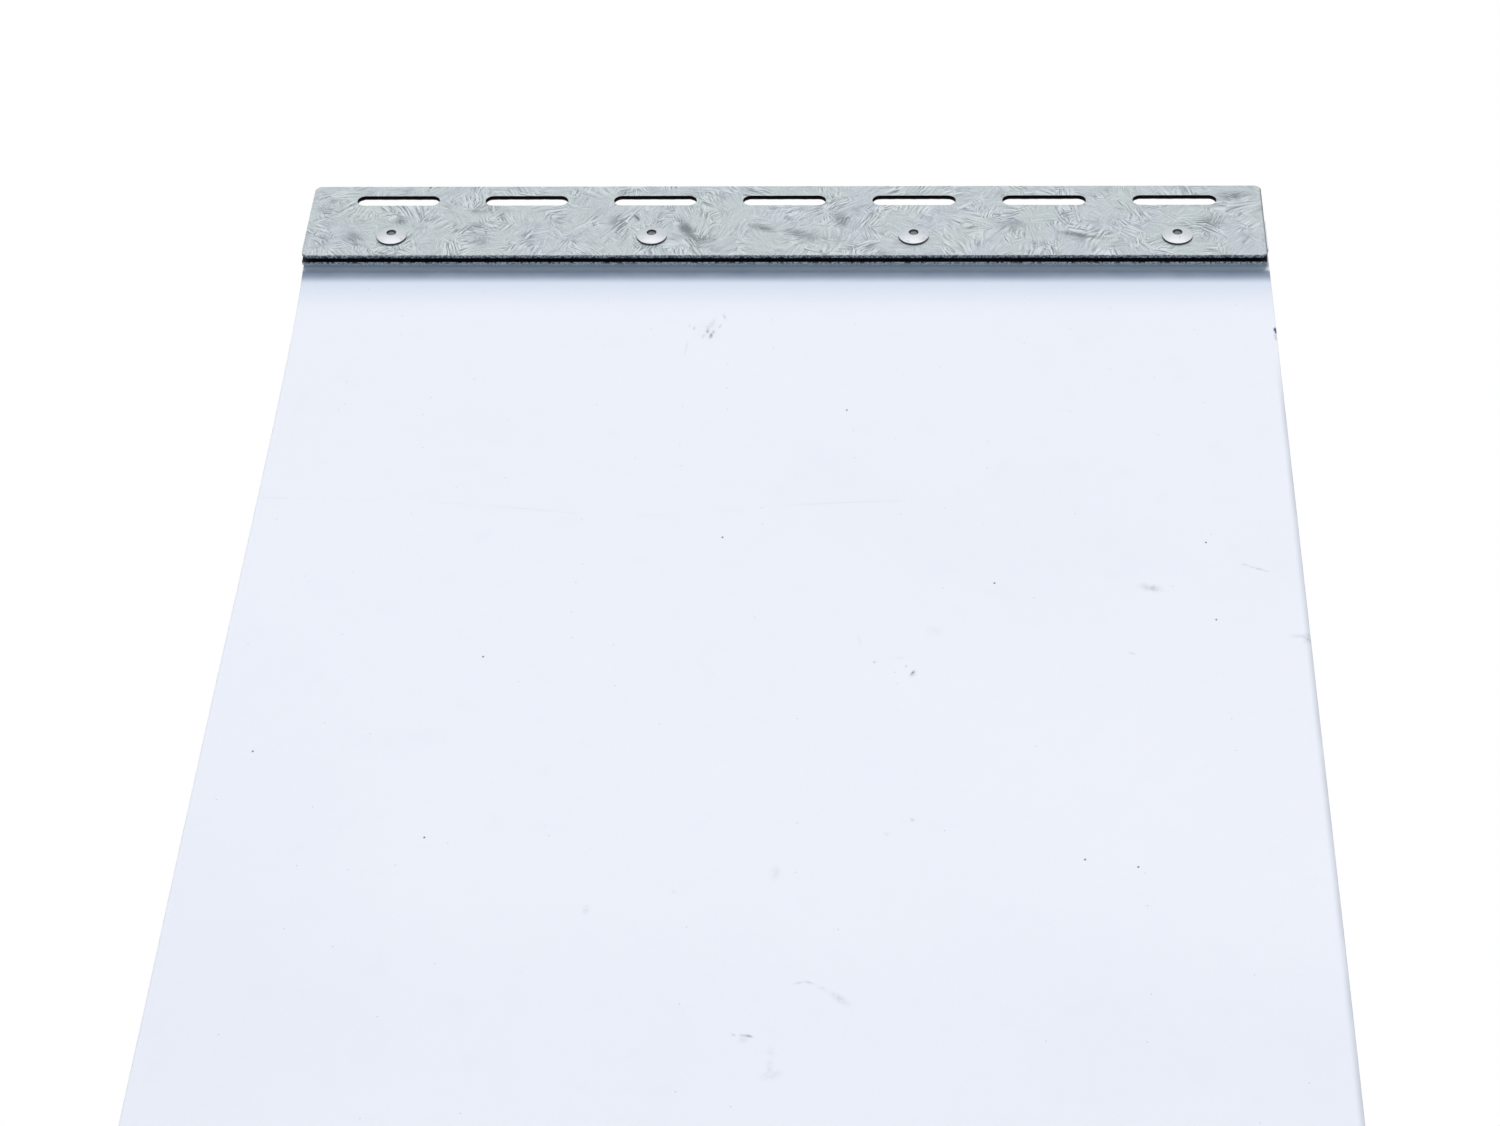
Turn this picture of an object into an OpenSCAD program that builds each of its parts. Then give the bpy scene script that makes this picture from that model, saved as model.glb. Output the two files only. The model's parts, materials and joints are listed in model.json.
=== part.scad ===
// Mud flap: a smooth white sheet whose top end is folded round a steel bar and riveted to a slotted
// galvanised hanger plate. Stored hanging: X runs across, +Z is up, and the rivet heads face -Y.
// The origin is the middle of the slot row, on the front face of the hanger plate.

/* [Hanger plate] */
// Width of the hanger plate
plate_w = 400; // [300:5:600]
// Height of the hanger plate
plate_h = 50; // [48:1:70]
// Thickness of the hanger plate
plate_t = 1.5; // [1:0.1:3]
// Radius of the corners of the hanger plate
corner_r = 3; // [1:0.5:6]

/* [Hanging slots] */
// Number of slots in the row, an odd number
slot_count = 7; // [5:2:7]
// Length of a slot from end to end
slot_len = 35; // [20:1:40]
// Width of a slot
slot_w = 7; // [5:0.5:9]
// Distance from one slot to the next
slot_pitch = 54.5; // [45:0.5:56]
// Distance from the plate's top edge down to the middle of the slots
slot_from_top = 10.5; // [8:0.5:12]

/* [Hem bar] */
// Height of the steel bar inside the folded hem
bar_h = 25.5; // [24:0.5:28]
// Thickness of the steel bar
bar_t = 1.5; // [1:0.1:3]
// Radius of the corners of the steel bar
bar_corner_r = 0.8; // [0.4:0.2:4]

/* [Flap] */
// Drop of the whole part, from the plate's top edge to the flap's bottom edge
drop = 600; // [350:10:900]
// Width of the white sheet
flap_w = 398; // [290:1:600]
// Thickness of the white sheet
flap_t = 2; // [1.5:0.5:4]
// How far the sheet sits to the right of the plate's middle
flap_shift = 1.7; // [-3:0.1:3]
// Radius of the flap's two bottom corners
flap_corner_r = 4; // [1:1:40]
// How far the hem's free end stops short of the plate's lower edge
hem_setback = 6; // [4:0.5:7]

/* [Bend line] */
// Distance from the bar's lower edge down to the line where the sheet bends
bend_drop = 2.3; // [2.3:0.1:6]
// Gap between the clamped hem and the free sheet at the bend line
bend_gap = 0.3; // [0.2:0.05:0.5]

/* [Blind rivets] */
// Distance from the plate's top edge down to the rivets
rivet_from_top = 36.5; // [35:0.5:37]
// Diameter of the rivet head
head_d = 12.5; // [11:0.5:16]
// Height of the rivet head at its crown
head_h = 2.2; // [1.8:0.1:2.5]
// Height of the upright rim round the head
rim_h = 0.7; // [0.2:0.1:0.8]
// Diameter of the rivet shank
shank_d = 6.4; // [4.8:0.1:6.4]
// Diameter of the bore that the stem was pulled through
bore_d = 4; // [3:0.1:4.2]
// Diameter of the bulge that setting forms behind the washer
bulge_d = 9.6; // [9:0.2:11]
// Length of that bulge
bulge_len = 4.6; // [3:0.2:4.8]

/* [Broken stems] */
// Diameter of the head on the blind end of the stem
stem_head_d = 6; // [5:0.1:6.4]
// Depth of the broken end below the crown of the rivet head
stem_recess = 0.7; // [0.2:0.1:1.5]

/* [Backing washers] */
// Outer diameter of a backing washer
washer_d = 16; // [14:0.5:18]
// Thickness of a backing washer
washer_t = 1.5; // [1:0.1:2]

/* [Hidden] */
$fn = 64;

// Colours as the photograph shows them
zinc = [0.75, 0.78, 0.79];
aluminium = [0.90, 0.91, 0.92];
bare_steel = [0.42, 0.43, 0.44];
white_sheet = [0.93, 0.95, 0.98];

// Clearances within the riveted stack, and how far a cutter runs past a face
rivet_gap = 0.05;
washer_gap = 0.1;
past = 1;

// Heights, counted from the slot row
plate_top = slot_from_top;
plate_bottom = plate_top - plate_h;
bar_top = plate_bottom + bar_h;
rivet_z = plate_top - rivet_from_top;
hem_end = plate_bottom + hem_setback;
bend_z = plate_bottom - bend_drop;
clamp_end = bend_z + flap_t / 2 + bend_gap;
flap_bottom = plate_top - drop;

// Depths behind the plate's front face: plate, folded end, bar, sheet, washer
fold_front = plate_t;
bar_front = fold_front + flap_t;
sheet_front = bar_front + bar_t;
sheet_back = sheet_front + flap_t;
grip = sheet_back + washer_t;
fold_mid = bar_front + bar_t / 2;
bend_y = sheet_front + flap_t / 2;

// Rivets stand under every second slot, from the first slot to the last
rivet_count = 4;
rivet_pitch = (slot_count - 1) * slot_pitch / (rivet_count - 1);

// Parts of a set rivet
dome_h = head_h - rim_h;
dome_r = (pow(head_d / 2, 2) + pow(dome_h, 2)) / (2 * dome_h);
sleeve_past_bulge = 1;
tail_len = bulge_len + sleeve_past_bulge;

function rivet_x(i) = (i - (rivet_count + 1) / 2) * rivet_pitch;
function slot_x(i) = (i - (slot_count - 1) / 2) * slot_pitch;

// Flat outline with four round corners, from its lower left corner
module rounded_outline(w, h, r) {
    translate([r, 0]) square([w - 2 * r, h]);
    translate([0, r]) square([w, h - 2 * r]);
    for (x = [r, w - r], y = [r, h - r]) translate([x, y]) circle(r = r);
}

// Turns an outline drawn in X and Z into a sheet that runs back from a given depth
module upright_sheet(front, t) {
    translate([0, front + t, 0]) rotate([90, 0, 0]) linear_extrude(t) children();
}

// Slot with fully round ends, drawn about its middle
module slot_outline() {
    straight = slot_len - slot_w;
    square([straight, slot_w], center = true);
    for (side = [-1, 1]) translate([side * straight / 2, 0]) circle(d = slot_w);
}

// Holes for the four rivets, drawn in X and Z
module rivet_holes_outline() {
    for (i = [1 : rivet_count]) translate([rivet_x(i), rivet_z]) circle(d = shank_d + 2 * rivet_gap);
}

// Galvanised plate with the row of hanging slots along its top edge
module hanger_plate() {
    color(zinc)
    upright_sheet(0, plate_t) difference() {
        translate([-plate_w / 2, plate_bottom]) rounded_outline(plate_w, plate_h, corner_r);
        for (i = [0 : slot_count - 1]) translate([slot_x(i), 0]) slot_outline();
        rivet_holes_outline();
    }
}

// Galvanised bar that the sheet is folded round, flush with the plate's ends and lower edge
module hem_bar() {
    color(zinc)
    upright_sheet(bar_front, bar_t) difference() {
        translate([-plate_w / 2, plate_bottom]) rounded_outline(plate_w, bar_h, bar_corner_r);
        rivet_holes_outline();
    }
}

// Section of the hem in Y and Z: down behind the bar, over its top edge and down in front of it
module hem_section() {
    translate([sheet_front, clamp_end]) square([flap_t, bar_top - clamp_end]);
    translate([fold_front, hem_end]) square([flap_t, bar_top - hem_end]);
    translate([fold_mid, bar_top]) difference() {
        circle(r = bar_t / 2 + flap_t);
        circle(r = bar_t / 2);
        translate([-flap_w, -flap_w]) square([2 * flap_w, flap_w]);
    }
}

// Clamped top end of the white sheet, folded round the bar and drilled for the rivets
module flap_hem() {
    color(white_sheet)
    difference() {
        translate([flap_shift - flap_w / 2, 0, 0])
            rotate([90, 0, 90]) linear_extrude(flap_w) hem_section();
        upright_sheet(-past, sheet_back + 2 * past) rivet_holes_outline();
    }
}

// Free part of the white sheet, with a half-round top end on the bend line
module flap_sheet() {
    left = flap_shift - flap_w / 2;
    length = bend_z - flap_bottom;
    color(white_sheet)
    union() {
        upright_sheet(sheet_front, flap_t) translate([left, flap_bottom]) {
            translate([0, flap_corner_r]) square([flap_w, length - flap_corner_r]);
            translate([flap_corner_r, 0]) square([flap_w - 2 * flap_corner_r, length]);
            for (x = [flap_corner_r, flap_w - flap_corner_r])
                translate([x, flap_corner_r]) circle(r = flap_corner_r);
        }
        translate([left, bend_y, bend_z]) rotate([0, 90, 0]) cylinder(d = flap_t, h = flap_w);
    }
}

// Puts a piece that is turned about Z on the axis of one rivet, with its +Z end towards the front
module at_rivet(i) {
    translate([rivet_x(i), 0, rivet_z]) rotate([90, 0, 0]) children();
}

// Aluminium rivet as it is after setting: domed head, shank, and a bulge behind the washer
module rivet(i) {
    color(aluminium)
    at_rivet(i) rotate_extrude() difference() {
        union() {
            intersection() {
                translate([0, head_h - dome_r]) circle(r = dome_r, $fn = 180);
                square([head_d / 2, head_h]);
            }
            translate([0, -grip - tail_len]) square([shank_d / 2, grip + tail_len]);
            translate([(bulge_d - bulge_len) / 2, -grip - bulge_len / 2]) circle(d = bulge_len);
        }
        translate([0, -grip - tail_len - past]) square([bore_d / 2, grip + tail_len + head_h + 2 * past]);
    }
}

// Steel stem left in the rivet: its broken end shows in the head, its own head closes the blind end
module stem(i) {
    stem_len = grip + tail_len + head_h - stem_recess;
    color(bare_steel)
    at_rivet(i) translate([0, 0, -grip - tail_len]) rotate_extrude() {
        square([bore_d / 2 - rivet_gap, stem_len]);
        intersection() {
            circle(d = stem_head_d);
            translate([0, -stem_head_d]) square(stem_head_d);
        }
    }
}

// Plain washer that spreads the rivet's bulge over the soft sheet
module backing_washer(i) {
    color(zinc)
    at_rivet(i) translate([0, 0, -grip]) difference() {
        cylinder(d = washer_d, h = washer_t);
        translate([0, 0, -past]) cylinder(d = shank_d + 2 * washer_gap, h = washer_t + 2 * past);
    }
}

hanger_plate();
hem_bar();
flap_hem();
flap_sheet();
rivet(1);  // rivet_1
rivet(2);  // rivet_2
rivet(3);  // rivet_3
rivet(4);  // rivet_4
stem(1);  // stem_1
stem(2);  // stem_2
stem(3);  // stem_3
stem(4);  // stem_4
backing_washer(1);  // backing_washer_1
backing_washer(2);  // backing_washer_2
backing_washer(3);  // backing_washer_3
backing_washer(4);  // backing_washer_4
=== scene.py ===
import json
import math

import bmesh
import bpy
from mathutils import Matrix, Vector


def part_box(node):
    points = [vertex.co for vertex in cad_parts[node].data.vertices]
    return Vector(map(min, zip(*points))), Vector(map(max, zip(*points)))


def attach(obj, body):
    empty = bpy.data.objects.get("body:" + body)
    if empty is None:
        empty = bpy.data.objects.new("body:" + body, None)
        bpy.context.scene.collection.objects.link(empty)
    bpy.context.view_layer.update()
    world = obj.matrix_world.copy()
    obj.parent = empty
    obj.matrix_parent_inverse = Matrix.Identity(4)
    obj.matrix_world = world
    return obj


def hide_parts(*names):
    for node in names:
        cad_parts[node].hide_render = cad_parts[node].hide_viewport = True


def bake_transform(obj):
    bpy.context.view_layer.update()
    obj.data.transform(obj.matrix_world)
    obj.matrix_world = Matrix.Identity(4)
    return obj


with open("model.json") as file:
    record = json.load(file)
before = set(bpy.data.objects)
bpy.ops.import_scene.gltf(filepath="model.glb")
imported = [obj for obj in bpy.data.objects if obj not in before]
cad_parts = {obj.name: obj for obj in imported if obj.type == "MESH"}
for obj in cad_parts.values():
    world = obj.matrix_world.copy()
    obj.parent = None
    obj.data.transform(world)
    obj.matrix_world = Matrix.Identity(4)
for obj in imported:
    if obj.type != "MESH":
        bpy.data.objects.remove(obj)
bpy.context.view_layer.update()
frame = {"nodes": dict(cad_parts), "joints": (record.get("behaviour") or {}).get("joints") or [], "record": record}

# Hanger plate
# A strip sheared from hot-dip galvanised steel sheet, with seven slots punched along its top edge.
# It is the front layer of the riveted stack, and the whole part hangs by its slots.
# The zinc froze in feathery crystals, the sheared edges are rough, and the punched walls
# are painted near black as shade.

MM = 0.001
plate = frame["nodes"]["hanger_plate"]
plate_low, plate_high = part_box("hanger_plate")
plate_front = plate_low.y / MM
plate_back = plate_high.y / MM
right_end = plate_high.x / MM
slot_dims = [mount["dims"] for mount in frame["record"]["mounts"]]
slot_r = slot_dims[0]["hole_r_mm"]
slot_straight = slot_dims[0]["slot_length_mm"] / 2 - slot_r
slot_middles = sorted({side * dims.get("spacing_x_mm", 0.0) / 2 for dims in slot_dims for side in (-1, 1)})
slot_wall_reach = slot_r + 1.0
slot_row_reach = slot_middles[-1] + slot_straight + slot_r + 9.0
rivet_names = [f"rivet_{i}" for i in range(1, 5)]
rivet_boxes = [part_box(name) for name in rivet_names]
rivet_middles = [(low + high) / 2 for low, high in rivet_boxes]
rivet_pitch = (rivet_middles[1].x - rivet_middles[0].x) / MM
rivet_row = rivet_middles[0].z / MM
head_r = (rivet_boxes[0][1].x - rivet_boxes[0][0].x) / MM / 2
hem_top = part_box("flap_hem")[1].z / MM


class Wire:
    """One output socket of a shader node. Sums written with wires add the nodes that work them out."""

    def __init__(self, socket):
        self.socket = socket

    def node(self, kind, settings, inputs, output=0):
        """Adds a node: its settings are set first, then its sockets get their values or links."""
        made = self.socket.id_data.nodes.new("ShaderNode" + kind)
        for name, value in settings.items():
            setattr(made, name, value)
        for name, value in inputs.items():
            plug(made.inputs[name], value)
        return Wire(made.outputs[output])

    def other(self, output):
        """Another output of the node that this wire leaves."""
        return Wire(self.socket.node.outputs[output])

    def maths(self, operation, first, second=0.0):
        """Math on numbers, or Vector Math where either side is a vector."""
        sides = [side.socket.type if isinstance(side, Wire) else type(side) for side in (first, second)]
        kind = "VectorMath" if "VECTOR" in sides or tuple in sides else "Math"
        return self.node(kind, {"operation": operation}, {0: first, 1: second})

    def __add__(self, other):
        return self.maths("ADD", self, other)

    def __radd__(self, other):
        return self.maths("ADD", other, self)

    def __sub__(self, other):
        return self.maths("SUBTRACT", self, other)

    def __rsub__(self, other):
        return self.maths("SUBTRACT", other, self)

    def __mul__(self, other):
        return self.maths("MULTIPLY", self, other)

    def __rmul__(self, other):
        return self.maths("MULTIPLY", other, self)

    def __truediv__(self, other):
        return self.maths("DIVIDE", self, other)

    def __rtruediv__(self, other):
        return self.maths("DIVIDE", other, self)

    def __abs__(self):
        return self.maths("ABSOLUTE", self)

    def larger(self, other):
        """The larger of two numbers."""
        return self.maths("MAXIMUM", self, other)

    def ramp(self, low, high):
        """Smooth mask: 0 where this wire is at low, 1 where it is at high."""
        ends = {"Value": self, "From Min": low, "From Max": high}
        return self.node("MapRange", {"interpolation_type": "SMOOTHSTEP"}, ends)

    def mix(self, clear, covered):
        """Colour that goes from clear to covered as this mask goes from 0 to 1."""
        colours = {"Factor": self, "A": clear, "B": covered}
        made = self.node("Mix", {"data_type": "RGBA"}, {})
        for socket in made.socket.node.inputs:
            if socket.name in colours and socket.enabled:
                plug(socket, colours[socket.name])
        return made.other(2)

    def split(self):
        """The three numbers of a vector."""
        first = self.node("SeparateXYZ", {}, {0: self})
        return first, first.other(1), first.other(2)

    def beside(self, second, third=0.0):
        """A vector that begins with this number."""
        return self.node("CombineXYZ", {}, {0: self, 1: second, 2: third})

    def length(self):
        """The length of a vector."""
        return self.node("VectorMath", {"operation": "LENGTH"}, {0: self}, "Value")


def plug(socket, value):
    """Links a wire to a socket, or sets a number, vector or colour on it."""
    if isinstance(value, Wire):
        socket.id_data.links.new(value.socket, socket)
    elif socket.type == "VECTOR" and not isinstance(value, (tuple, Vector)):
        socket.default_value = (value, value, value)
    elif socket.type == "RGBA":
        socket.default_value = (*value, 1.0)
    else:
        socket.default_value = value


def new_finish(name):
    """A new material, its shader, and a wire with the place on the piece in millimetres."""
    finish = bpy.data.materials.new(name)
    finish.use_nodes = True
    shader = finish.node_tree.nodes["Principled BSDF"]
    place = Wire(shader.outputs["BSDF"]).node("TexCoord", {}, {}, "Object") * (1 / MM)
    return finish, shader, place


def grain(place, size, detail=2.0, output="Fac"):
    """Noise from 0 to 1 whose lumps are about this many millimetres apart."""
    return place.node("TexNoise", {}, {"Vector": place, "Scale": 1 / size, "Detail": detail}, output)


def patch(spot, at, size, turn=0.0):
    """Mask of one soft oval in the plane of spot, with its half sizes in mm and its turn in degrees."""
    moved = {"Vector": spot, "Location": (*at, 0.0), "Scale": (*size, 1.0)}
    moved["Rotation"] = (0.0, 0.0, math.radians(turn))
    return spot.node("Mapping", {"vector_type": "TEXTURE"}, moved).length().ramp(1.0, 0.0)


def roughen(shader, relief, strength, depth):
    """Raises the surface by this relief, whose depth is in millimetres."""
    bumped = {"Height": relief, "Strength": strength, "Distance": depth * MM}
    plug(shader.inputs["Normal"], relief.node("Bump", {}, bumped))


def set_finish(node, finish):
    """Gives a CAD node its finish in every material slot."""
    for material_slot in node.material_slots:
        material_slot.material = finish


def ease_edges(node, width):
    """Rounds a CAD node's sharp edges as tumbling or handling does, without touching its mesh."""
    weld = node.modifiers.new("join faces", "WELD")
    weld.merge_threshold = 0.001 * MM
    bevel = node.modifiers.new("eased edges", "BEVEL")
    bevel.width = width
    bevel.segments = 2
    bevel.limit_method = "ANGLE"
    bevel.angle_limit = math.radians(40)
    node.modifiers.new("even shading", "WEIGHTED_NORMAL")


def from_rivets(across, up):
    """Distance in mm from the axis of the nearest rivet, and height above the row of rivets."""
    along_row = across + 2 * rivet_pitch
    aside = across.maths("FLOORED_MODULO", along_row, rivet_pitch) - rivet_pitch / 2
    rise = up - rivet_row
    return aside.beside(rise).length(), rise


def zinc_crystals(spot, size, shift, stroke_w, stroke_l):
    """Feather strokes of one layer of zinc crystals, about 0. Each crystal has its own way and fan."""
    drift_size = 7.0
    drift_most = 0.9
    least_fan = 14.0
    most_fan = 70.0
    most_curl = 0.016
    wobble_size = 3.5
    wobble_most = 9.0
    barb_gap = 1.0
    barb_depth = 0.28
    barbed_size = 4.0
    drift = grain(spot, drift_size, 1.0, "Color") - (0.5, 0.5, 0.5)
    bent = spot + drift * drift_most + shift
    voronoi = {"voronoi_dimensions": "2D", "feature": "F1"}
    crystal = bent.node("TexVoronoi", voronoi, {"Vector": bent, "Scale": 1 / size}, "Color")
    turn, spread, curl = crystal.split()
    angle = turn * math.tau
    cosine = angle.maths("COSINE", angle)
    sine = angle.maths("SINE", angle)
    arm_x, arm_z, _ = (bent - crystal.other("Position")).split()
    along = arm_x * cosine + arm_z * sine
    across = arm_z * cosine - arm_x * sine
    hub = spread * (most_fan - least_fan) + least_fan
    fanned = across * (hub / (hub + along)) + along * along * ((curl - 0.5) * most_curl)
    on_stroke = (along / stroke_l).beside(fanned / stroke_w, turn * 90.0)
    plain_strokes = grain(on_stroke, 1.0, 1.0) - 0.5
    wobble = grain(bent, wobble_size, 1.0) * wobble_most
    barb = along.maths("SINE", fanned * math.tau / (barb_gap + curl * barb_gap) + wobble)
    barbed = grain(bent, barbed_size, 1.0).ramp(0.50, 0.62) * spread.ramp(0.35, 0.6)
    return plain_strokes * 0.8 + (barb.ramp(0.1, 1.0) - 0.3) * barbed * barb_depth


def galvanised(name, stains, hidden_face, front, pitted_at, cut_steel, cut_bright):
    """Spangled zinc with rough cut edges.

    hidden_face says which way the covered face looks, painted near black as shade, front is the depth
    of the front face, and pitted_at is the depth of the arris along which the cut edge is pitted.
    """
    zinc_light = (0.655, 0.715, 0.715)
    zinc_cool = (0.655, 0.71, 0.75)
    zinc_dark = (0.21, 0.245, 0.265)
    # near black painted in for shade in the slots, in the slit and in the pits of the cut edge
    painted_black_shade = (0.006, 0.006, 0.007)
    # colour of the painted shade on the plate
    painted_shade = (0.05, 0.055, 0.06)
    large_size = 17.0
    small_size = 9.0
    elsewhere = (431.0, 97.0, 0.0)
    finish, shader, place = new_finish(name)
    across, depth, up = place.split()
    spot = across.beside(up)
    large = zinc_crystals(spot, large_size, (0.0, 0.0, 0.0), 0.85, 9.0)
    small = zinc_crystals(spot, small_size, elsewhere, 0.65, 5.0)
    share = grain(spot, 9.0).ramp(0.42, 0.58)
    boldness = 0.35 + grain(spot, 14.0, 2.0).ramp(0.42, 0.68) * 1.2
    stroke = (large * share + small * (1 - share)) * boldness
    stain = grain(spot, 11.0, 3.0).ramp(0.52, 0.8) * 0.45
    for at, size, turn, strength in stains:
        stain = stain + patch(spot, at, size, turn) * strength
    sparkle = (grain(spot, 0.5) - 0.5) * 0.7
    clouded = stain * (0.3 + grain(spot, 2.2, 3.0) * 0.5)
    shade = 0.37 + stroke * 2.0 + sparkle + clouded
    light_side = grain(spot, 22.0, 1.0).ramp(0.35, 0.65).mix(zinc_light, zinc_cool)
    face = shade.ramp(0.0, 1.0).mix(light_side, zinc_dark)
    off_rivet, rise = from_rivets(across, up)
    # painted shadow on the plate just below each rivet head
    painted_rivet_shadow = off_rivet.ramp(head_r + 0.7, head_r + 0.1) * rise.ramp(1.5, -2.5) * 0.5
    # painted shade along the plate's right end
    painted_end_shade = across.ramp(right_end - 1.0, right_end - 0.2) * 0.6
    face = (painted_rivet_shadow + painted_end_shade).ramp(0.0, 1.0).mix(face, painted_shade)
    _, facing, facing_up = place.node("NewGeometry", {}, {}, "Normal").split()
    flat = abs(facing)
    cut = flat.ramp(0.75, 0.45)
    flecks = grain(place, 0.7, 3.0).ramp(0.46, 0.56)
    near_arris = depth.ramp(front + 1.1, front)
    edge = (flecks * (0.6 + near_arris * 0.35) + near_arris * 0.15).mix(cut_steel, cut_bright)
    # the pits along the slit's arris are real, and their near black is painted shade
    pits = grain(place, 1.0, 3.0).ramp(0.49, 0.57) * abs(depth - pitted_at).ramp(1.2, 0.2)
    edge = (pits * 0.93).mix(edge, painted_black_shade)
    in_row = abs(up).ramp(slot_wall_reach, slot_wall_reach - 0.5)
    in_slot = in_row * abs(across).ramp(slot_row_reach + 1, slot_row_reach)
    # the slot walls are painted near black, as the shade inside the slots
    slot_wall = in_slot * flat.ramp(0.985, 0.94) * facing_up.ramp(0.4, 0.15)
    # the covered faces are painted near black, and their strip seen in the slit stands as painted shade
    hidden_and_slit_shade = (facing * hidden_face).ramp(0.5, 0.9) * up.ramp(hem_top - 0.25, hem_top - 1.75)
    colour = slot_wall.larger(hidden_and_slit_shade).mix(cut.mix(face, edge), painted_black_shade)
    plug(shader.inputs["Base Color"], colour)
    plug(shader.inputs["Metallic"], 0.5 - cut * 0.2 - hidden_and_slit_shade * 0.3 + slot_wall * 0.7)
    plug(shader.inputs["Roughness"], 0.46 + stroke * 0.12 + cut * 0.3 + stain * 0.1)
    roughen(shader, stroke * 1.0 + grain(place, 1.4) * 0.4 + cut * flecks * 2.0, 0.35, 0.05)
    return finish


# Each stain has its middle and half sizes in mm, its turn in degrees and its strength
plate_stains = [
    ((-161.0, -14.5), (5.0, 4.5), 20.0, 0.8),
    ((-128.0, -18.0), (8.0, 4.0), 20.0, 0.5),
    ((-69.0, -17.0), (6.0, 10.0), 20.0, 0.6),
    ((-61.5, -12.5), (1.2, 3.4), 30.0, 1.7),
    ((-40.5, -20.5), (4.0, 9.0), 25.0, 1.2),
    ((-35.0, -29.5), (6.0, 7.0), 10.0, 0.7),
    ((-9.0, -20.0), (9.0, 3.5), -25.0, 0.7),
    ((8.0, -24.5), (12.0, 4.5), -20.0, 0.6),
    ((-180.0, -27.0), (7.0, 9.0), 30.0, 0.5),
    ((24.0, -14.0), (5.0, 9.0), 20.0, 0.7),
    ((94.5, -18.5), (9.0, 6.0), 10.0, 0.4),
    ((124.0, -25.5), (14.0, 2.2), -15.0, 0.7),
    ((177.0, -17.0), (10.0, 9.0), 15.0, 0.6),
    ((188.0, 3.0), (12.0, 5.0), 10.0, 0.6),
]
# the plate's cut edge is painted darker than the bar's, as shade on the same sheared zinc
plate_cut = (0.14, 0.16, 0.185)
plate_cut_fleck = (0.68, 0.74, 0.78)
strip_edge_r = 0.12 * MM
faces_back = 1.0
plate_zinc = galvanised(
    "hanger_zinc", plate_stains, faces_back, plate_front, plate_back, plate_cut, plate_cut_fleck)
set_finish(plate, plate_zinc)
ease_edges(plate, strip_edge_r)

# Slot burrs
# Low lips of torn steel that the punch pushed out of the plate's back face, one round each slot.
# They are part of the plate, uneven in height, and painted near black as the shade in the slots.

burr_crest = 0.43


def slot_rim():
    """Points round one slot about its middle, each with the direction that leads out of the slot."""
    arc_steps = 14
    straight_steps = 16
    rim = []
    for end, first_turn in ((1, -90), (-1, 90)):
        for k in range(arc_steps + 1):
            turn = math.radians(first_turn + 180 * k / arc_steps)
            out = (math.cos(turn), math.sin(turn))
            rim.append((end * slot_straight + slot_r * out[0], slot_r * out[1], *out))
        for k in range(1, straight_steps):
            along = end * slot_straight * (1 - 2 * k / straight_steps)
            rim.append((along, end * slot_r, 0.0, end))
    return rim


def finished_mesh(shape, name):
    """Turns a bmesh into a mesh with smooth faces that look outwards."""
    bmesh.ops.recalc_face_normals(shape, faces=shape.faces)
    for face in shape.faces:
        face.smooth = True
    made = bpy.data.meshes.new(name)
    shape.to_mesh(made)
    shape.free()
    return made


def burr_mesh(name):
    """A closed ring round each slot, flush with the slot's wall and sloping off on its outer side.

    Its section is in mm, out from the slot's rim and up from the plate's back face.
    """
    root = -0.16
    inside = -0.02
    outside = 0.42
    section = [(inside, root), (inside, 0.38), (0.03, burr_crest), (0.11, burr_crest)]
    section += [(0.2, 0.34), (outside, 0.03), (outside, root)]
    shape = bmesh.new()
    for middle in slot_middles:
        rings = []
        for x, z, out_x, out_z in slot_rim():
            long_tear = 0.1 * math.sin(x * 1.3 + z + middle)
            short_tear = 0.07 * math.sin(x * 3.1 + middle * 2)
            uneven = 1 + long_tear + short_tear
            ring = []
            for out, rise in section:
                high = rise if rise < 0 else rise * uneven
                at = Vector((middle + x + out_x * out, plate_back + high, z + out_z * out))
                ring.append(shape.verts.new(at * MM))
            rings.append(ring)
        for k in range(len(rings)):
            for j in range(len(section)):
                shape.faces.new((rings[k - 1][j - 1], rings[k - 1][j], rings[k][j], rings[k][j - 1]))
    return finished_mesh(shape, name)


def torn_steel(name):
    """Torn steel painted near black as shade, a little brighter along its crest."""
    # near black painted in for the shade in the slots
    torn_in_shade = (0.006, 0.006, 0.007)
    worn = (0.06, 0.065, 0.07)
    finish, shader, place = new_finish(name)
    flecks = grain(place, 0.6, 3.0)
    above_back = place.split()[1] - plate_back
    on_crest = above_back.ramp(burr_crest - 0.1, burr_crest)
    plug(shader.inputs["Base Color"], (flecks.ramp(0.45, 0.7) * (0.15 + on_crest)).mix(torn_in_shade, worn))
    plug(shader.inputs["Roughness"], 0.5 + flecks * 0.3)
    shader.inputs["Metallic"].default_value = 0.4
    roughen(shader, flecks, 0.4, 0.05)
    return finish


burrs = bpy.data.objects.new("slot_burrs", burr_mesh("slot_burrs"))
bpy.context.scene.collection.objects.link(burrs)
burrs.data.materials.append(torn_steel("slot_burr_steel"))
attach(burrs, "hanger")

# Hem bar
# A second strip of the same galvanised steel, lying inside the folded end of the white sheet.
# The rivets pull the plate down on it, and its sheared lower edge shows under the plate's.

bar = frame["nodes"]["hem_bar"]
bar_low, bar_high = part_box("hem_bar")
bar_front = bar_low.y / MM
# the bar's cut edge and its flecks are painted lighter than the plate's, as light on the same zinc
bar_cut = (0.50, 0.56, 0.62)
bar_cut_fleck = (0.90, 0.93, 0.97)
faces_front = -1.0
set_finish(bar, galvanised("bar_zinc", [], faces_front, bar_front, bar_front, bar_cut, bar_cut_fleck))
ease_edges(bar, strip_edge_r)

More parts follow.
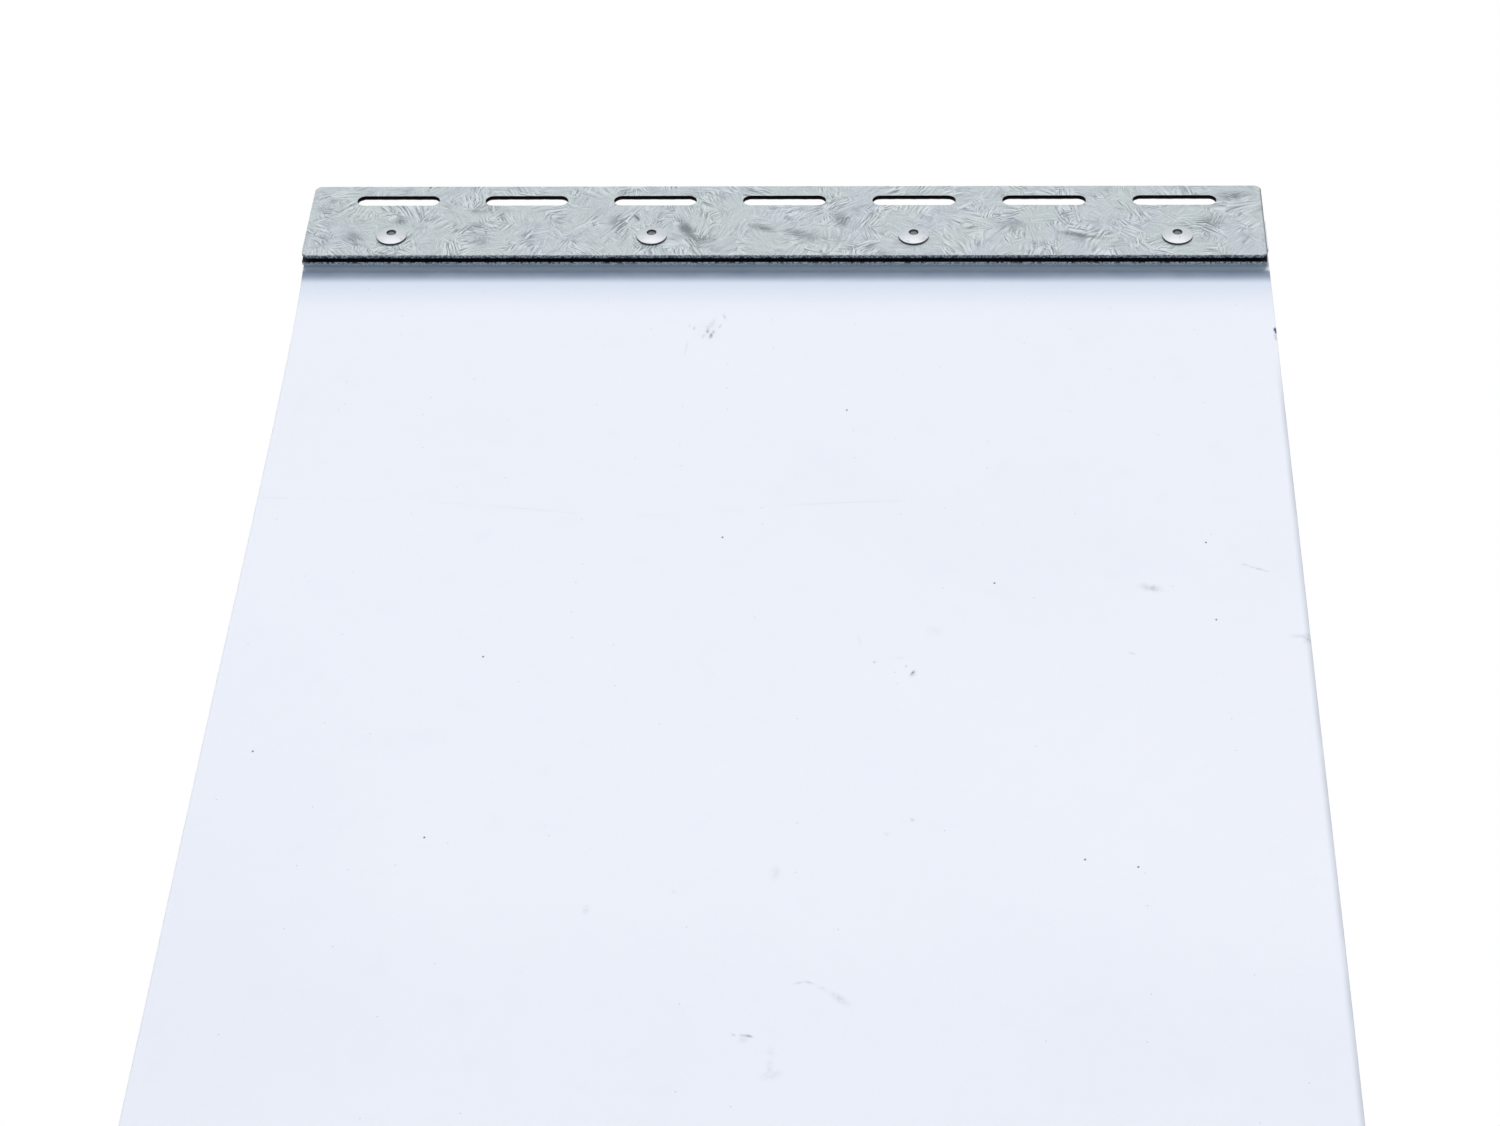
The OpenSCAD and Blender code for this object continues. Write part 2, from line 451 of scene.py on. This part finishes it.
# Flap
# One smooth white plastic sheet, 2 mm thick. Its top end is folded round the hem bar and riveted,
# and the rest hangs free and bends just below the bar. It is cut square, with its corners eased,
# and carries the specks, the scuffs and one faint crease of a used sheet. Just below the bar its
# colour is darkened as painted shadow and painted shade.

hem_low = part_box("flap_hem")[0]
sheet_low, sheet_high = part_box("flap_sheet")
sheet_t = sheet_high.y - sheet_low.y
sheet_w = sheet_high.x - sheet_low.x
sheet_middle = (sheet_high.x + sheet_low.x) / 2
edge_r = 0.35 * MM
corner_r = 4 * MM
fold_y = (bar_low.y + bar_high.y) / 2
fold_r = (sheet_high.y - hem_low.y - sheet_t) / 2
fold_z = bar_high.z
hem_setback = 6 * MM
folded_end = bar_low.z + hem_setback
bottom_end = sheet_low.z
bend = frame["joints"][0]
bend_z = bend["pos_m"][2]
rivet_hole_r = 3.25 * MM
columns = 48
support = 0.5 * MM


def smooth_step(t):
    """Goes smoothly from 0 to 1 as t does."""
    t = min(max(t, 0.0), 1.0)
    return t * t * (3 - 2 * t)


def sway(x, z):
    """How far the hanging sheet stands off flat: long shallow waves that start below the bend."""
    wave_depth = 0.35 * MM
    wave_w = 370 * MM
    wander = 0.15
    wander_h = 500 * MM
    roll_depth = 0.3 * MM
    roll_h = 290 * MM
    roll_w = 900 * MM
    roll_start = 0.1
    full_below_bend = 150 * MM
    wave = math.sin(math.tau * (x / wave_w + wander * math.sin(math.tau * z / wander_h)))
    roll = math.sin(math.tau * (z / roll_h + x / roll_w + roll_start))
    return (wave_depth * wave + roll_depth * roll) * smooth_step((bend_z - z) / full_below_bend)


def flare(z):
    """How far the left edge runs out towards the plate: the sheet is a little wider at the clamp."""
    most = 2.1 * MM
    dies_out_in = 34 * MM
    return most * math.exp(-max(bend_z - z, 0.0) / dies_out_in)


def round_end(d, r):
    """How far an edge of radius r still lies inside its full reach, at distance d from the end."""
    return 0.0 if d >= r else r - math.sqrt(r * r - (r - d) ** 2)


def sheet_section(half_w, half_t):
    """Outline across the sheet, from the left end of its outer face round to where it began."""
    flat = half_w - edge_r
    steps = [-flat, -flat + support]
    steps += [-flat + support + (2 * flat - 2 * support) * i / columns for i in range(1, columns)]
    steps += [flat - support, flat]
    rise = half_t - edge_r
    turns = [math.radians(a) for a in (60, 30, 0)]
    side = [(flat + edge_r * math.cos(a), rise + edge_r * math.sin(a)) for a in turns]
    side += [(x, -o) for x, o in reversed(side)]
    outer = [(x, half_t) for x in steps]
    inner = [(-x, -half_t) for x in steps]
    return outer + side + inner + [(-x, -o) for x, o in side]


def sheet_line():
    """Middle line from the folded-in end to the bottom.

    Each point has its place in Y and Z, the direction of the outer side, and its distance to the end.
    """
    front_steps = 6
    fold_steps = 16
    fine_step = 2.5 * MM
    wide_step = 7 * MM
    fine_reach = 70 * MM
    last_gap = 1 * MM
    ends = [edge_r * k for k in (0.0, 0.1, 0.3, 0.6, 1.0)]
    front = fold_y - fold_r
    back = fold_y + fold_r
    line = [(front, folded_end + d, -1.0, 0.0, d) for d in ends]
    rise = fold_z - folded_end
    front_rises = [rise * i / front_steps for i in range(1, front_steps)]
    line += [(front, folded_end + d, -1.0, 0.0, d) for d in front_rises]
    for i in range(fold_steps + 1):
        a = math.pi * i / fold_steps
        out_y = -math.cos(a)
        out_z = math.sin(a)
        line.append((fold_y + fold_r * out_y, fold_z + fold_r * out_z, out_y, out_z, rise))
    drop = fold_z - bottom_end
    reached = 0.0
    while reached < drop - corner_r - 4 * last_gap:
        near_bend = abs(fold_z - reached - bend_z) < fine_reach
        reached += fine_step if near_bend else wide_step
        if reached < drop - corner_r - last_gap:
            line.append((back, fold_z - reached, 1.0, 0.0, drop - reached))
    closing = [corner_r * k for k in (1.0, 0.8, 0.6, 0.42, 0.26, 0.15)] + list(reversed(ends))
    line += [(back, bottom_end + d, 1.0, 0.0, d) for d in closing]
    return line


def sheet_mesh(name):
    """The whole sheet as one closed mesh: rings along its middle line, and a row of faces at each end."""
    shape = bmesh.new()
    rings = []
    for y, z, out_y, out_z, d in sheet_line():
        hangs = out_y > 0.99
        half_w = sheet_w / 2 - round_end(d, corner_r if hangs else edge_r)
        half_t = sheet_t / 2 - round_end(d, edge_r)
        ring = []
        for x, o in sheet_section(half_w, half_t):
            share_left = 0.5 - x / sheet_w
            at = Vector((sheet_middle + x - flare(z) * share_left, y + out_y * o, z + out_z * o))
            at.y += sway(at.x, at.z) if hangs else 0.0
            ring.append(shape.verts.new(at))
        rings.append(ring)
    count = len(rings[0])
    for above, below in zip(rings, rings[1:]):
        for k in range(count):
            shape.faces.new((above[k], above[k - 1], below[k - 1], below[k]))
    row = columns + 3
    side = count // 2 - row
    last_inner = 2 * row + side - 1
    for ring in (rings[0], rings[-1]):
        for k in range(row - 1):
            shape.faces.new((ring[k], ring[k + 1], ring[last_inner - 1 - k], ring[last_inner - k]))
        shape.faces.new(ring[row - 1:row + side + 1])
        shape.faces.new(ring[last_inner:] + ring[:1])
    return finished_mesh(shape, name)


def drill(piece, places, radius):
    """Cuts a round hole through the piece along Y at each place."""
    drill_length = 100 * MM
    drill_sides = 40
    tool = bmesh.new()
    for x, z in places:
        turned = Matrix.Translation((x, 0.0, z)) @ Matrix.Rotation(math.pi / 2, 4, "X")
        bmesh.ops.create_cone(tool, cap_ends=True, segments=drill_sides, radius1=radius, radius2=radius,
                              depth=drill_length, matrix=turned)
    drill_mesh = bpy.data.meshes.new("drill")
    tool.to_mesh(drill_mesh)
    tool.free()
    drill_piece = bpy.data.objects.new("drill", drill_mesh)
    bpy.context.scene.collection.objects.link(drill_piece)
    cut = piece.modifiers.new("rivet holes", "BOOLEAN")
    cut.object = drill_piece
    cut.solver = "EXACT"
    drilled = piece.evaluated_get(bpy.context.evaluated_depsgraph_get())
    drilled_mesh = bpy.data.meshes.new_from_object(drilled)
    piece.modifiers.clear()
    piece.data = drilled_mesh
    bpy.data.objects.remove(drill_piece)


def keep_place(piece, name):
    """Stores each point's place at rest, in mm, for the marks on the sheet."""
    places = piece.data.attributes.new(name, "FLOAT_VECTOR", "POINT")
    for point, kept in zip(piece.data.vertices, places.data):
        kept.vector = point.co / MM


# Each scuff has its middle and half sizes in mm, its turn in degrees and its strength
scuffs = [
    ((-27.0, -88.5), (2.8, 1.2), 85.0, 1.00),
    ((-26.0, -86.0), (1.8, 1.0), 85.0, 0.50),
    ((-28.5, -85.5), (3.0, 1.0), 85.0, 0.55),
    ((-30.0, -89.0), (1.9, 0.8), 80.0, 0.45),
    ((-26.5, -79.5), (3.9, 1.3), 80.0, 0.22),
    ((-28.0, -82.0), (3.6, 2.1), 70.0, 0.14),
    ((-22.0, -75.5), (3.5, 1.0), -75.0, 0.35),
    ((-23.5, -82.0), (2.0, 0.8), 75.0, 0.40),
    ((-36.0, -82.0), (2.5, 0.6), 85.0, 0.22),
    ((-34.0, -83.5), (2.4, 0.8), 85.0, 0.28),
    ((-36.5, -97.0), (6.2, 0.8), 85.0, 0.16),
    ((-28.0, -84.0), (13.1, 7.2), -90.0, 0.05),
    ((56.0, -291.0), (2.5, 0.8), 65.0, 0.80),
    ((56.0, -292.0), (2.5, 1.6), 55.0, 0.25),
    ((53.5, -287.5), (0.6, 0.8), 35.0, 0.45),
    ((42.0, -285.5), (1.1, 1.1), 35.0, 0.30),
    ((50.5, -297.0), (0.4, 0.8), 25.0, 0.35),
    ((36.5, -274.0), (4.2, 1.0), -80.0, 0.12),
    ((51.5, -283.0), (3.5, 1.3), 10.0, 0.10),
    ((64.0, -268.0), (4.8, 4.2), 15.0, 0.07),
    ((143.5, -243.5), (6.4, 3.4), -15.0, 0.22),
    ((145.5, -244.0), (3.8, 2.2), -10.0, 0.16),
    ((183.5, -232.5), (7.8, 0.8), -25.0, 0.34),
    ((179.5, -230.5), (2.0, 1.0), -25.0, 0.25),
    ((135.5, -280.0), (2.0, 1.0), -25.0, 0.20),
    ((3.0, -469.5), (3.0, 1.0), -10.0, 0.80),
    ((2.0, -471.0), (2.5, 2.7), -5.0, 0.12),
    ((-1.5, -469.0), (1.4, 0.8), -30.0, 0.30),
    ((19.5, -445.5), (2.6, 0.8), 15.0, 0.32),
    ((23.0, -445.5), (2.9, 0.8), -20.0, 0.30),
    ((27.0, -448.0), (3.2, 1.4), -35.0, 0.12),
    ((33.0, -452.5), (6.5, 2.2), -45.0, 0.20),
    ((11.0, -476.0), (4.0, 2.1), -70.0, 0.10),
    ((11.0, -482.5), (4.4, 1.6), -85.0, 0.13),
    ((11.5, -486.5), (5.6, 3.0), 15.0, 0.12),
    ((-54.0, -413.0), (2.1, 3.4), 0.0, 0.14),
    ((9.5, -394.5), (2.8, 5.4), 0.0, 0.12),
    ((56.5, -368.0), (1.8, 1.1), -45.0, 0.25),
    ((-24.5, -404.0), (1.2, 1.4), 15.0, 0.12),
    ((47.5, -375.0), (1.8, 1.3), -45.0, 0.10),
    ((196.0, -270.5), (5.0, 1.8), -5.0, 0.16),
    ((199.5, -272.0), (4.5, 2.4), -85.0, 0.35),
    ((200.5, -84.5), (3.0, 1.3), 90.0, 3.00),
    ((200.0, -89.0), (3.4, 0.8), -85.0, 0.80),
]
specks = [
    (29.0, -137.5), (-16.5, -215.5), (86.0, -241.0), (-101.0, -284.5),
    (-112.5, -379.0), (-178.5, -336.0), (115.5, -387.0), (133.5, -390.5),
    (165.5, -217.5), (167.0, -261.5),
]
speck_size = (0.65, 0.8)
fine_speck_gap = 17.0
bar_foot = bar_low.z / MM
sheet_left = sheet_low.x / MM
sheet_right = sheet_high.x / MM
sheet_mid_depth = (sheet_low.y + sheet_high.y) / 2 / MM
washer_r = (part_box("backing_washer_1")[1].x - rivet_middles[0].x) / MM


def white_sheet(name, place_name):
    """Smooth white plastic with a faint cool tint, soft mottling, specks, scuffs, one crease and painted shade."""
    white = (0.87, 0.885, 0.945)
    mottled = (0.815, 0.838, 0.908)
    # colour of the scuffs and marks, and of the painted shadow and shade below the bar
    dirt_and_shade = (0.07, 0.115, 0.20)
    # blue of the painted shade that fades down the sheet below the bar
    painted_shade_blue = (0.10, 0.30, 0.58)
    speck_black = (0.01, 0.01, 0.012)
    finish, shader, moving_place = new_finish(name)
    place = moving_place.node("Attribute", {"attribute_name": place_name}, {}, "Vector")
    across, depth, up = place.split()
    spot = across.beside(up)
    front = depth.ramp(sheet_mid_depth + 0.3, sheet_mid_depth - 0.3)
    back = 1 - front

    scuffed = 0.0
    for at, size, turn, strength in scuffs:
        scuffed = scuffed + patch(spot, at, size, turn) * strength
    scuffed = scuffed * (0.35 + grain(place, 1.6, 3.0).ramp(0.35, 0.65) * 0.65)
    speck = 0.0
    for at in specks:
        speck = speck + patch(spot, at, speck_size)
    cells = {"Vector": spot, "Scale": 1 / fine_speck_gap}
    scatter = spot.node("TexVoronoi", {"voronoi_dimensions": "2D"}, cells, "Distance")
    chance = scatter.other("Color").split()[0]
    fine = scatter.ramp(0.020, 0.008) * chance.ramp(0.80, 0.84) * 0.4

    crease_z = -190.0
    crease_dip = 13.0
    dip_x = -52.0
    dip_w = 60.0
    from_dip = (across - dip_x) / dip_w
    line_z = crease_z - crease_dip / (1.0 + from_dip * from_dip)
    crease = abs(up - line_z).ramp(0.8, 0.0) * across.ramp(110.0, 60.0)
    crease = crease * grain(spot, 26.0).ramp(0.35, 0.6) * 0.06

    cloud = grain(spot, 90.0, 3.0).ramp(0.35, 0.75) * 0.2 + grain(spot, 14.0, 3.0).ramp(0.5, 0.8) * 0.2
    left_band = across.ramp(-95.0, -180.0) * up.ramp(-130.0, -330.0) * 0.3
    low_band = up.ramp(-390.0, -465.0) * 0.35
    mottle = cloud + left_band + low_band + (grain(place, 0.8, 2.0) - 0.5) * 0.5

    right_edge = across.ramp(sheet_right - 2.5, sheet_right) * up.ramp(-95.0, -140.0)
    right_edge = right_edge * (0.5 + grain(place, 20.0) * 0.9) * 0.3
    left_edge = across.ramp(sheet_left + 0.9, sheet_left) * up.ramp(-80.0, -120.0) * 0.06
    off_washer = from_rivets(across, up)[0]
    pressed = off_washer.ramp(washer_r + 2.0, washer_r + 0.2) * (0.3 + grain(place, 3.0) * 0.6) * 0.3
    brushed = across.beside(up * 0.16)
    rubbed = grain(brushed, 9.0, 3.0).ramp(0.52, 0.78) * grain(spot, 70.0).ramp(0.4, 0.65) * 0.11

    below = bar_foot - up
    below_bar = below.ramp(2.8, 5.2) * front
    fade = below.ramp(44.5, 6.5)
    # painted shade that fades out down the top of the sheet below the bar
    painted_shade_tail = fade * fade * below_bar * 0.25
    # painted shadow of the bar on the sheet just below it
    painted_bar_shadow = below.ramp(13.5, 7.0) * below_bar * (0.85 + grain(place, 12.0) * 0.3) * 0.7
    # painted contact shade on the sheet where it meets the bar
    painted_contact_shade = below.ramp(2.5, 0.3) * below.ramp(-2.5, -1.0) * 0.42
    # scuffs, crease, washer and edge marks are marks on the sheet; the bands below the bar are painted shade
    soil_and_shade = (scuffed + crease + painted_contact_shade) * front + (pressed + rubbed) * back + painted_bar_shadow
    soil_and_shade = soil_and_shade + right_edge + left_edge

    colour = painted_shade_tail.mix(mottle.mix(white, mottled), painted_shade_blue)
    colour = soil_and_shade.mix(colour, dirt_and_shade)
    colour = (speck * front + fine).ramp(0.0, 1.0).mix(colour, speck_black)
    plug(shader.inputs["Base Color"], colour)
    plug(shader.inputs["Roughness"], 0.5 + mottle * 0.1 + soil_and_shade * 0.2)
    shader.inputs["Specular IOR Level"].default_value = 0.4
    roughen(shader, grain(place, 0.9) * 0.6 + grain(place, 6.0) * 1.2 - crease * 6.0, 0.2, 0.04)
    return finish


flap = bpy.data.objects.new("white_flap", sheet_mesh("white_flap"))
bpy.context.scene.collection.objects.link(flap)
drill(flap, [(middle.x, middle.z) for middle in rivet_middles], rivet_hole_r)
keep_place(flap, "place_on_sheet")
flap.data.materials.clear()
flap.data.materials.append(white_sheet("white_sheet", "place_on_sheet"))
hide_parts("flap_hem", "flap_sheet")
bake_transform(flap)

# Blind rivets
# Plain aluminium rivets with a low domed head. Each was set from the front: its sleeve is pulled
# into a bulge behind the washer, and the head is left satin with fine turning marks.

rim_depth = -0.7
bore_r = 2.0
turning_gap = 0.45


def satin_aluminium(name):
    """Satin metal with turning marks, and painted shade on its upper half, under the rim and in the bore."""
    bright = (0.70, 0.72, 0.75)
    dull = (0.55, 0.575, 0.61)
    top_shade_tone = (0.54, 0.585, 0.635)
    # colour of the painted shade under the rim and in the bore
    painted_shade = (0.085, 0.088, 0.095)
    finish, shader, place = new_finish(name)
    across, depth, up = place.split()
    radius = from_rivets(across, up)[0]
    rings = radius.maths("SINE", radius * (math.tau / turning_gap)) * grain(place, 1.2).ramp(0.3, 0.7)
    scuff = grain(place, 1.8, 3.0).ramp(0.52, 0.75)
    facing_up = place.node("NewGeometry", {}, {}, "Normal").split()[2]
    # the upper half of the head is painted darker, as shade
    painted_top_shade = facing_up.ramp(-0.22, 0.03) * depth.ramp(1.0, 0.0) * (0.75 + scuff * 0.25)
    colour = painted_top_shade.mix(scuff.mix(bright, dull), top_shade_tone)
    on_rim = radius.ramp(head_r - 0.35, head_r - 0.05)
    # painted shade on the rim's wall, for the shadow under the head
    under_rim = depth.ramp(rim_depth, rim_depth + 0.12) * depth.ramp(1.2, 0.6) * on_rim
    # painted shade deeper in the bore
    in_bore = radius.ramp(bore_r + 0.2, bore_r + 0.02) * depth.ramp(6.0, 2.0) * 0.5
    colour = (under_rim + in_bore).ramp(0.0, 1.0).mix(colour, painted_shade)
    plug(shader.inputs["Base Color"], colour)
    plug(shader.inputs["Metallic"], 0.9 - under_rim * 0.5)
    plug(shader.inputs["Roughness"], 0.34 + scuff * 0.2 + rings * 0.05)
    roughen(shader, rings * 0.3 + grain(place, 0.8, 3.0), 0.3, 0.03)
    return finish


for name in rivet_names:
    set_finish(frame["nodes"][name], satin_aluminium(name + "_aluminium"))

# Broken stems
# The steel stem of each rivet snapped off inside the head when it was set. Its rough end shows in
# the bore, and its own head closes the blind end of the sleeve.

broken_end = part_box("stem_1")[0].y / MM


def snapped_steel(name):
    """Drawn steel whose broken end is torn and painted dark, partly as shade, with painted shade round it."""
    steel = (0.34, 0.355, 0.365)
    # dark of the broken end, partly torn steel and partly painted shade deep in the bore
    torn_in_shade = (0.05, 0.053, 0.057)
    finish, shader, place = new_finish(name)
    across, depth, up = place.split()
    broken = depth.ramp(broken_end + 0.3, broken_end + 0.05)
    crumbs = grain(place, 0.5, 3.0)
    off_axis = from_rivets(across, up)[0] + (grain(place, 1.5) - 0.5) * 0.8
    # painted shade in the gap round the stem's broken end
    ring = off_axis.ramp(1.2, 1.6)
    colour = (crumbs.ramp(0.4, 0.65) * 0.3 + broken * (0.15 + ring * 0.75)).mix(steel, torn_in_shade)
    plug(shader.inputs["Base Color"], colour)
    plug(shader.inputs["Roughness"], 0.38 + broken * 0.3)
    shader.inputs["Metallic"].default_value = 0.9
    roughen(shader, crumbs * (0.2 + broken * 2.0), 0.6, 0.15)
    return finish


for i in range(1, 5):
    set_finish(frame["nodes"][f"stem_{i}"], snapped_steel(f"stem_{i}_steel"))

# Backing washers
# Plain stamped steel washers, zinc plated, slipped over each rivet's sleeve before it was set.
# They spread the rivet's bulge over the soft sheet, and their edges are tumbled round.

washer_edge_r = 0.2 * MM


def bright_zinc(name):
    """Thin zinc plating, dulled in patches."""
    plated = (0.54, 0.56, 0.58)
    dulled = (0.36, 0.38, 0.40)
    finish, shader, place = new_finish(name)
    haze = grain(place, 3.0, 4.0).ramp(0.4, 0.7)
    plug(shader.inputs["Base Color"], haze.mix(plated, dulled))
    plug(shader.inputs["Roughness"], 0.38 + haze * 0.2)
    shader.inputs["Metallic"].default_value = 0.85
    roughen(shader, grain(place, 0.6, 3.0), 0.25, 0.03)
    return finish


for i in range(1, 5):
    washer = frame["nodes"][f"backing_washer_{i}"]
    set_finish(washer, bright_zinc(f"washer_{i}_zinc"))
    ease_edges(washer, washer_edge_r)

# Studio
# A plain pale floor well below the hanging part, which runs out to white. A soft lamp stands above
# and in front, another low behind, and a softbox in front shows only in gloss. The sky is dim and
# even, and white wherever the camera looks past the part.

floor_z = -1.7
floor_half = 60.0
floor_unseen = (0.24, 0.31, 0.37)
floor_near = (0.74, 0.74, 0.74)
paper_white = (1.0, 1.0, 1.0)
sweep_start = 10.0
sweep_end = 35.0
sky_dim = (0.13, 0.17, 0.20)
lamp_warm = (1.0, 0.95, 0.92)
front_lean = math.radians(43)
front_way = (0.0, -math.sin(front_lean), math.cos(front_lean))
front_strength = 3.56
front_spread = 24
back_way = (0.27, 0.95, 0.1)
back_strength = 2.3
back_spread = 20
box_w = 2.4
box_h = 1.0
box_brightness = 0.45
box_place = (0.0, -1.7, 0.15)


def looked_at(start):
    """Mask of the rays that show a surface as it is: those of the camera, of gloss and of glass."""
    camera_ray = start.node("LightPath", {}, {}, "Is Camera Ray")
    gloss = camera_ray.larger(camera_ray.other("Is Glossy Ray"))
    return gloss.larger(camera_ray.other("Is Transmission Ray"))


def soft_lamp(name, towards, strength, spread, colour):
    """A distant soft lamp whose light comes from this direction."""
    lamp_data = bpy.data.lights.new(name, "SUN")
    lamp_data.energy = strength
    lamp_data.color = colour
    lamp_data.angle = math.radians(spread)
    lamp = bpy.data.objects.new(name, lamp_data)
    lamp.rotation_euler = Vector(towards).to_track_quat("Z", "Y").to_euler()
    lamp.visible_glossy = False
    bpy.context.scene.collection.objects.link(lamp)


floor_mesh = bpy.data.meshes.new("floor")
corners = [(-1, -1), (1, -1), (1, 1), (-1, 1)]
floor_mesh.from_pydata([(x * floor_half, y * floor_half, floor_z) for x, y in corners], [], [(0, 1, 2, 3)])
floor = bpy.data.objects.new("floor", floor_mesh)
bpy.context.scene.collection.objects.link(floor)
floor_finish, floor_shader, floor_place = new_finish("floor")
from_middle = floor_place.length()
floor_seen = from_middle.ramp(sweep_start / MM, sweep_end / MM).mix(floor_near, paper_white)
plug(floor_shader.inputs["Base Color"], looked_at(floor_place).mix(floor_unseen, floor_seen))
floor_shader.inputs["Roughness"].default_value = 0.9
floor_mesh.materials.append(floor_finish)

soft_lamp("front lamp", front_way, front_strength, front_spread, lamp_warm)
soft_lamp("back lamp", back_way, back_strength, back_spread, lamp_warm)

front_box = bpy.data.lights.new("front softbox", "AREA")
front_box.shape = "RECTANGLE"
front_box.size = box_w
front_box.size_y = box_h
front_box.energy = box_brightness * math.pi * box_w * box_h
softbox = bpy.data.objects.new("front softbox", front_box)
softbox.location = box_place
softbox.rotation_euler = (math.pi / 2, 0.0, 0.0)
softbox.visible_diffuse = False
bpy.context.scene.collection.objects.link(softbox)

world = bpy.data.worlds.new("studio")
bpy.context.scene.world = world
world.use_nodes = True
sky = world.node_tree.nodes["Background"]
plug(sky.inputs["Color"], looked_at(Wire(sky.outputs["Background"])).mix(sky_dim, paper_white))

# Camera
# It stands in front of the part and below it, and looks up along the flap at its plate. Its lens is
# long, and it is turned and rolled by a few degrees.

camera_data = bpy.data.cameras.new("camera")
camera_data.sensor_width = 36.0
camera_data.lens = 90.053
camera_data.clip_start = 0.05
camera = bpy.data.objects.new("camera", camera_data)
bpy.context.scene.collection.objects.link(camera)
camera_place = Vector((0.06424, -0.90373, -1.30407))
turn, rise, roll = (math.radians(a) for a in (-4.387, 49.669, 3.547))
ahead = Vector((math.sin(turn) * math.cos(rise), math.cos(turn) * math.cos(rise), math.sin(rise)))
level = Vector((math.cos(turn), -math.sin(turn), 0.0))
above = level.cross(ahead)
right = level * math.cos(roll) + above * math.sin(roll)
top = above * math.cos(roll) - level * math.sin(roll)
facing = Matrix((right, top, -ahead)).transposed().to_4x4()
camera.matrix_world = Matrix.Translation(camera_place) @ facing
bpy.context.scene.camera = camera
bpy.context.scene.view_settings.view_transform = "Standard"
